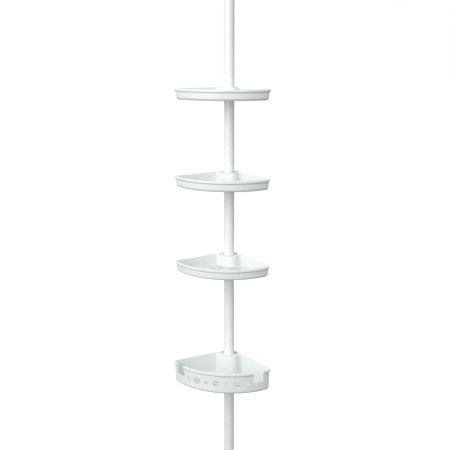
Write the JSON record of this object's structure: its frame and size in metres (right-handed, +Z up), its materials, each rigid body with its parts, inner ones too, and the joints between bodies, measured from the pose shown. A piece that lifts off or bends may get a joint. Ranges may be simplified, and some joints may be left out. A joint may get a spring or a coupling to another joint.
{
  "type": "corner shower caddy",
  "caption": "Corner shower caddy: a white spring-loaded tension pole from floor to ceiling carries shallow corner trays and a deeper corner basket on split cone clips.",
  "frame": {"origin": "centre of the foot pad's face, on the floor", "axes": "+Z up along the pole, +Y into the room's corner, the curved fronts of the shelves face -Y"},
  "size_m": [0.241, 0.1773, 1.53],
  "materials": {
    "white_plastic": "satin white moulded plastic",
    "painted_steel": "smooth white enamel",
    "rubber": "matt pale grey rubber",
    "spring_steel": "drawn spring wire"
  },
  "bodies": {
    "pole": {"foot_pad": "rubber", "foot_cup": "white_plastic", "lower_tube": "painted_steel", "middle_tube": "painted_steel", "upper_tube": "painted_steel", "guide_sleeve": "white_plastic", "spring_seat": "white_plastic", "spring": "spring_steel"},
    "top_rod": {"rod_plug": "white_plastic", "rod_tube": "painted_steel", "ceiling_cup": "white_plastic", "ceiling_pad": "rubber"},
    "upper_tray_clip": {"upper_tray_clip_left": "white_plastic", "upper_tray_clip_right": "white_plastic"},
    "upper_tray": {"upper_tray": "white_plastic"},
    "middle_tray_clip": {"middle_tray_clip_left": "white_plastic", "middle_tray_clip_right": "white_plastic"},
    "middle_tray": {"middle_tray": "white_plastic"},
    "lower_tray_clip": {"lower_tray_clip_left": "white_plastic", "lower_tray_clip_right": "white_plastic"},
    "lower_tray": {"lower_tray": "white_plastic"},
    "basket_clip": {"basket_clip_left": "white_plastic", "basket_clip_right": "white_plastic"},
    "basket": {"basket": "white_plastic"}
  },
  "joints": [
    {"name": "rod_slide", "type": "slide", "parent": "pole", "child": "top_rod", "axis": [0, 0, 1], "range_m": [-0.06, 0], "stiffness_N_per_m": 2000, "springref_m": 0.01, "deforming": ["spring"]},
    {"name": "upper_tray_height", "type": "slide", "parent": "pole", "child": "upper_tray_clip", "axis": [0, 0, 1], "range_m": [-0.075, 0.18]},
    {"name": "upper_tray_swivel", "type": "hinge", "parent": "upper_tray_clip", "child": "upper_tray", "pos_m": [0, 0, 0.997], "axis": [0, 0, 1], "continuous": true},
    {"name": "middle_tray_height", "type": "slide", "parent": "pole", "child": "middle_tray_clip", "axis": [0, 0, 1], "range_m": [-0.075, 0.075]},
    {"name": "middle_tray_swivel", "type": "hinge", "parent": "middle_tray_clip", "child": "middle_tray", "pos_m": [0, 0, 0.7866], "axis": [0, 0, 1], "continuous": true},
    {"name": "lower_tray_height", "type": "slide", "parent": "pole", "child": "lower_tray_clip", "axis": [0, 0, 1], "range_m": [-0.075, 0.075]},
    {"name": "lower_tray_swivel", "type": "hinge", "parent": "lower_tray_clip", "child": "lower_tray", "pos_m": [0, 0, 0.5778], "axis": [0, 0, 1], "continuous": true},
    {"name": "basket_height", "type": "slide", "parent": "pole", "child": "basket_clip", "axis": [0, 0, 1], "range_m": [-0.2, 0.075]},
    {"name": "basket_swivel", "type": "hinge", "parent": "basket_clip", "child": "basket", "pos_m": [0, 0, 0.3193], "axis": [0, 0, 1], "continuous": true}
  ]
}
